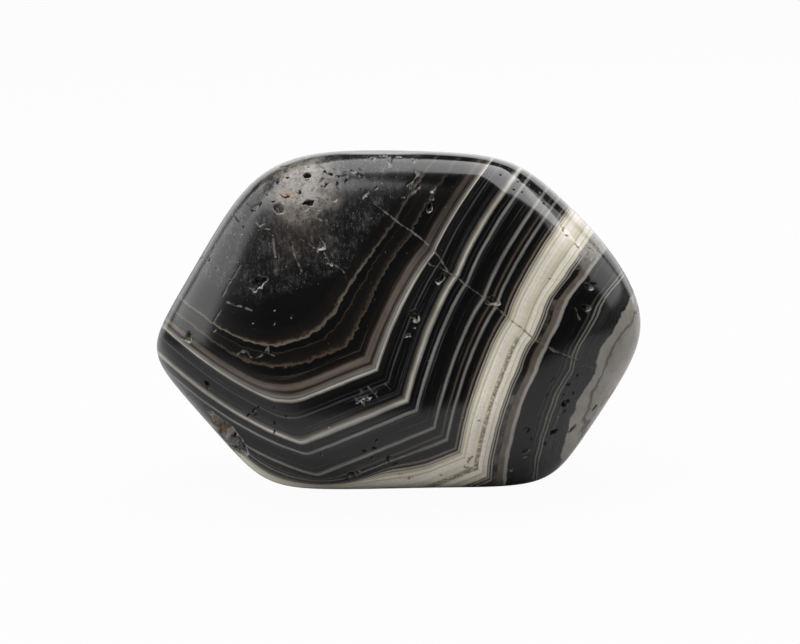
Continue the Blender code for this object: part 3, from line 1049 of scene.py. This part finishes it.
    # Painted shade in pits, slits and the hollow, and the dark cracks, in the pit colour.
    colour = p.mix(worn["dark"], colour, colours["pit"])
    colour = p.mix(p.times(worn["rusty"], 0.9), colour, rust_colour)
    # Crushed stone with painted glints, in silver.
    colour = p.mix(worn["crushed_and_glint"], colour, colours["silver"])

    rough = p.largest(p.largest(worn["crushed_and_glint"], worn["dark"]), p.times(worn["rusty"], 0.8))
    rough = p.largest(rough, p.times(worn["cracked"], 0.6))
    # The polish is best at the upper right, and dull at the outer end.
    dull = p.largest(p.step(right, 8.0, -1.0), p.step(growth, 10.2, 10.8))
    dull = p.plus(dull, p.times(p.step(right, -11.0, -15.0), 0.7))
    polish = p.plus(finish.polish, p.times(dull, finish.dulling))
    roughness = p.plus(polish, p.plus(p.times(rough, 0.42), p.times(p.math("ABSOLUTE", grain), 0.05)))
    ripple = p.noise(place, 1.3, 2.0)
    height = p.plus(p.times(ripple, 0.25), p.times(p.times(grain, rough), 3.0))
    height = p.plus(height, p.times(p.times(grain, in_core), 0.25))
    bump = p.node("ShaderNodeBump", {"Height": height, "Strength": finish.relief, "Distance": 0.02 * MM})
    surface = p.node(
        "ShaderNodeBsdfPrincipled",
        {
            "Base Color": colour,
            "Roughness": roughness,
            "IOR": finish.refraction,
            "Normal": bump.outputs[0],
        },
    )
    p.node("ShaderNodeOutputMaterial", {"Surface": surface.outputs[0]})
    return material


def size_property(name, description, default):
    """A size in the shaping units, which are millimetres."""
    return bpy.props.FloatProperty(name=name, description=description, default=default, precision=2)


def colour_property(name, description, red, green, blue):
    """A colour that the user picks, given here as it would look on a screen, from 0 to 255."""
    linear = [((part / 255.0 + 0.055) / 1.055) ** 2.4 if part > 10 else part / 255.0 / 12.92
              for part in (red, green, blue)]
    return bpy.props.FloatVectorProperty(
        name=name, description=description, default=linear, subtype="COLOR", min=0.0, max=1.0, size=3
    )


class StoneShape(bpy.types.PropertyGroup):
    face_bulge: size_property("Face bulge", "How far the banded face stands out, in mm", 11.2)
    back_bulge: size_property("Back bulge", "How far the back stands out, in mm", 12.4)
    face_fullness: size_property("Face fullness", "2 is an ellipse, more is flatter", 3.6)
    back_fullness: size_property("Back fullness", "2 is an ellipse, more is flatter", 2.5)
    rest_height: size_property("Rest height", "Height of the resting flat from the middle, in mm", -14.2)
    lean_back: bpy.props.FloatProperty(
        name="Lean back",
        description="How far the banded face leans back",
        default=math.radians(12.0),
        subtype="ANGLE",
        unit="ROTATION",
    )


class StoneColours(bpy.types.PropertyGroup):
    black: colour_property("Black", "The darkest bands", 9, 9, 10)
    ink: colour_property("Ink", "Softer black", 20, 20, 22)
    charcoal: colour_property("Charcoal", "Dark grey of the outer dark band", 37, 37, 39)
    slate: colour_property("Slate", "Dark grey lines", 62, 61, 60)
    grey: colour_property("Grey", "Grey flecks", 106, 105, 101)
    mist: colour_property("Mist", "Grey lines", 123, 122, 118)
    # Silver is also the painted glint on the rims of chips and the hollow.
    silver: colour_property("Silver", "Crushed stone in chips", 178, 175, 166)
    ivory: colour_property("Ivory", "The whitest bands", 226, 220, 206)
    cream: colour_property("Cream", "Warm white", 215, 208, 191)
    sand: colour_property("Sand", "Shaded white", 183, 173, 154)
    honey: colour_property("Honey", "Yellowish streaks in the white", 203, 187, 152)
    stone: colour_property("Stone", "Pale beige grey", 148, 144, 137)
    putty: colour_property("Putty", "Beige grey of the outer end", 158, 152, 144)
    fawn: colour_property("Fawn", "Fuzzy pale brown edges", 118, 114, 106)
    taupe: colour_property("Taupe", "Grey brown", 98, 91, 82)
    tan: colour_property("Tan", "Iron-stained stone in cracks", 165, 134, 98)
    earth: colour_property("Earth", "Middling brown", 73, 65, 56)
    umber: colour_property("Umber", "Brown", 50, 41, 34)
    bark: colour_property("Bark", "Deep brown", 29, 24, 20)
    dusk: colour_property("Dusk", "Brownish black", 19, 17, 15)
    brown: colour_property("Brown", "Nearly black brown", 24, 20, 18)
    # The pit colour is painted shade in pits, slits and the hollow, and also colours the dark cracks.
    pit: colour_property("Pit", "The floors of pits", 12, 11, 10)


class StoneFinish(bpy.types.PropertyGroup):
    polish: bpy.props.FloatProperty(
        name="Polish", description="Roughness of the polished skin", default=0.09, min=0.0, max=1.0
    )
    dulling: bpy.props.FloatProperty(
        name="Dulling", description="Roughness added where the polish is worn", default=0.08, min=0.0, max=1.0
    )
    relief: bpy.props.FloatProperty(
        name="Relief", description="Strength of the fine relief", default=0.5, min=0.0, max=1.0
    )
    refraction: bpy.props.FloatProperty(
        name="Refraction", description="Index of refraction of onyx", default=1.54, min=1.0, max=3.0
    )


class StageSettings(bpy.types.PropertyGroup):
    floor_colour: colour_property("Floor", "The pale floor", 175, 175, 175)
    surround: bpy.props.FloatProperty(
        name="Surround", description="Brightness of the dim room in reflections", default=0.05, min=0.0
    )
    ground: bpy.props.FloatProperty(
        name="Ground", description="Brightness of the floor beyond its edge", default=0.7, min=0.0
    )
    floor_glow: bpy.props.FloatProperty(
        name="Floor glow", description="Share of the floor's shadow that is washed out", default=0.96, max=1.0
    )
    top_light: bpy.props.FloatProperty(
        name="Top light", description="Brightness of the light overhead", default=3.6, min=0.0
    )
    left_light: bpy.props.FloatProperty(
        name="Left light", description="Brightness of the light at the left", default=2.2, min=0.0
    )
    right_light: bpy.props.FloatProperty(
        name="Right light", description="Brightness of the light at the right", default=1.3, min=0.0
    )
    back_light: bpy.props.FloatProperty(
        name="Back light", description="Brightness of the wall of light behind", default=1.1, min=0.0
    )


class ONYX_OT_stone(bpy.types.Operator):
    """Shapes the tumbled stone, with its pits, chips, cracks and resting flat, and polishes it"""

    bl_idname = "onyx.stone"
    bl_label = "Add banded stone"

    def execute(self, context):
        shape = context.scene.onyx_shape
        stone = add_box()
        stone.name = "banded_stone"
        stone.data.name = "banded_stone"
        marks = place_marks(shape)
        refine_near_marks(stone, marks, shape)
        points = wrap(grid_vertices(stone.data), shape)
        points, wear = sink_marks(points, marks, shape)
        for name, values in wear.items():
            layer = stone.data.attributes.new(name, "FLOAT", "POINT")
            layer.data.foreach_set("value", values)
        lean = np.array(Matrix.Rotation(-shape.lean_back, 3, "X"))
        stone.data.vertices.foreach_set("co", (points @ lean.T * MM).ravel())
        stone.data.update()
        wear_resting_flat(stone, shape.rest_height * MM)
        points = grid_vertices(stone.data)
        middle = stand_in_frame(points)
        points = np.clip(points + middle, CAD_BOX[0], CAD_BOX[1])
        stone.data.vertices.foreach_set("co", points.ravel())
        stone.data.update()
        bpy.ops.object.shade_smooth_by_angle(angle=math.radians(38.0))
        names = StoneColours.__annotations__
        colours = {name: (*getattr(context.scene.onyx_colours, name), 1.0) for name in names}
        finish = context.scene.onyx_finish
        material = onyx_material(tuple(middle), shape.lean_back, colours, finish)
        stone.data.materials.clear()
        stone.data.materials.append(material)
        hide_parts("onyx")
        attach(stone, "root")
        return {"FINISHED"}


class ONYX_OT_stage(bpy.types.Operator):
    """Adds the pale floor, the soft lights, the dim room and the camera"""

    bl_idname = "onyx.stage"
    bl_label = "Add stage"

    def add_light(self, name, place, toward, size, brightness, turn=0.0):
        """A soft box of this size in metres that faces this way, and whose face is this bright."""
        data = bpy.data.lights.new(name, "AREA")
        data.shape = "RECTANGLE"
        data.size, data.size_y = size
        data.energy = brightness * math.pi * size[0] * size[1]
        light = bpy.data.objects.new(name, data)
        facing = Vector(toward).to_track_quat("-Z", "Y").to_matrix().to_4x4()
        light.matrix_world = Matrix.Translation(place) @ facing @ Matrix.Rotation(turn, 4, "Z")
        bpy.context.scene.collection.objects.link(light)

    def add_floor(self, colour, glow):
        deselect_everything()
        bpy.ops.mesh.primitive_grid_add(x_subdivisions=12, y_subdivisions=8, size=1.0)
        floor = bpy.context.object
        floor.name = "floor"
        floor.dimensions = (2.4, 1.6, 0.0)
        floor.location = (0.0, 0.6, 0.0)
        bpy.ops.object.transform_apply(location=True, rotation=True, scale=True)
        material = bpy.data.materials.new("pale_floor")
        material.use_nodes = True
        p = Pattern(material.node_tree)
        surface = material.node_tree.nodes["Principled BSDF"]
        place = p.node("ShaderNodeTexCoord", {}).outputs["Object"]
        shade = p.plus(1.0, p.times(p.noise(place, 9.0), 0.01))
        plain = (*colour, 1.0)
        material.node_tree.links.new(
            p.mix(1.0, plain, p.vector(shade, shade, shade), "MULTIPLY"), surface.inputs["Base Color"]
        )
        surface.inputs["Roughness"].default_value = 0.9
        surface.inputs["Specular IOR Level"].default_value = 0.0
        # The shadow shows only faintly to the camera, and in full to the stone.
        seen = p.node("ShaderNodeLightPath", {}).outputs["Is Camera Ray"]
        white = p.node("ShaderNodeEmission", {"Color": (1.0, 1.0, 1.0, 1.0)}).outputs[0]
        shown = p.node("ShaderNodeMixShader", {0: p.times(seen, glow), 1: surface.outputs[0], 2: white})
        material.node_tree.links.new(
            shown.outputs[0], material.node_tree.nodes["Material Output"].inputs["Surface"]
        )
        floor.data.materials.append(material)

    def light_room(self, surround, ground):
        """A dim room over a pale ground, and plain white behind the stone for the camera."""
        world = bpy.data.worlds.new("studio")
        bpy.context.scene.world = world
        world.use_nodes = True
        world.node_tree.nodes.clear()
        p = Pattern(world.node_tree)
        direction = p.node("ShaderNodeTexCoord", {}).outputs["Generated"]
        height = p.node("ShaderNodeSeparateXYZ", {"Vector": direction}).outputs["Z"]
        dim = p.blend(p.step(height, -0.12, 0.08), ground, surround)
        seen = p.node("ShaderNodeLightPath", {}).outputs["Is Camera Ray"]
        room = p.mix(seen, p.vector(dim, dim, dim), (1.0, 1.0, 1.0, 1.0))
        background = p.node("ShaderNodeBackground", {"Color": room, "Strength": 1.0})
        p.node("ShaderNodeOutputWorld", {"Surface": background.outputs[0]})

    def add_camera(self, aim, elevation):
        data = bpy.data.cameras.new("camera")
        data.lens = CAMERA_LENS
        data.sensor_width = CAMERA_SENSOR
        data.shift_x = 1.5 / 800.0
        data.shift_y = -1.0 / 800.0
        camera = bpy.data.objects.new("camera", data)
        back = Vector((0.0, -math.cos(elevation), math.sin(elevation)))
        camera.location = Vector(aim) + back * CAMERA_DISTANCE
        camera.rotation_euler = (-back).to_track_quat("-Z", "Y").to_euler()
        bpy.context.scene.collection.objects.link(camera)
        bpy.context.scene.camera = camera

    def execute(self, context):
        stage = context.scene.onyx_stage
        middle = (0.0, 0.0, -context.scene.onyx_shape.rest_height * MM)
        down, right, left, forward = (0.0, 0.0, -1.0), (1.0, 0.0, 0.0), (-1.0, 0.0, 0.0), (0.0, -1.0, 0.0)
        self.add_floor(tuple(stage.floor_colour), stage.floor_glow)
        turn = math.radians(TOP_LIGHT_TURN)
        for name, (along, across, length, width) in TOP_PANELS.items():
            offset = Matrix.Rotation(turn, 3, "Z") @ Vector((along, across, 0.0))
            place = Vector(TOP_LIGHT_MIDDLE) + offset
            self.add_light(name, place, down, (length, width), stage.top_light, turn=turn)
        self.add_light("left_light", (-0.5, -0.10, 0.385), right, (1.0, 0.47), stage.left_light)
        self.add_light("right_light", (0.5, 0.175, 0.40), left, (0.55, 0.40), stage.right_light)
        self.add_light("back_light", (0.0, 1.0, 0.25), forward, (1.8, 0.5), stage.back_light)
        self.light_room(stage.surround, stage.ground)
        self.add_camera(middle, context.scene.onyx_shape.lean_back)
        context.scene.view_settings.view_transform = "Standard"
        return {"FINISHED"}


class ONYX_PT_panel(bpy.types.Panel):
    """Sizes, colours and steps of the banded onyx"""

    bl_idname = "ONYX_PT_panel"
    bl_label = "Banded onyx"
    bl_space_type = "VIEW_3D"
    bl_region_type = "UI"
    bl_category = "Banded onyx"

    def draw(self, context):
        layout = self.layout
        for title, group in GROUPS.items():
            box = layout.box()
            box.label(text=title.replace("onyx_", "").capitalize())
            for name in group.__annotations__:
                box.prop(getattr(context.scene, title), name)
        layout.operator(ONYX_OT_stone.bl_idname)
        layout.operator(ONYX_OT_stage.bl_idname)


GROUPS = {
    "onyx_shape": StoneShape,
    "onyx_colours": StoneColours,
    "onyx_finish": StoneFinish,
    "onyx_stage": StageSettings,
}
CLASSES = (*GROUPS.values(), ONYX_OT_stone, ONYX_OT_stage, ONYX_PT_panel)


def register():
    for item in CLASSES:
        bpy.utils.register_class(item)
    for name, group in GROUPS.items():
        setattr(bpy.types.Scene, name, bpy.props.PointerProperty(type=group))


def unregister():
    for name in GROUPS:
        delattr(bpy.types.Scene, name)
    for item in reversed(CLASSES):
        bpy.utils.unregister_class(item)


def main():
    register()
    bpy.ops.onyx.stone()
    bpy.ops.onyx.stage()


if __name__ == "__main__":
    main()
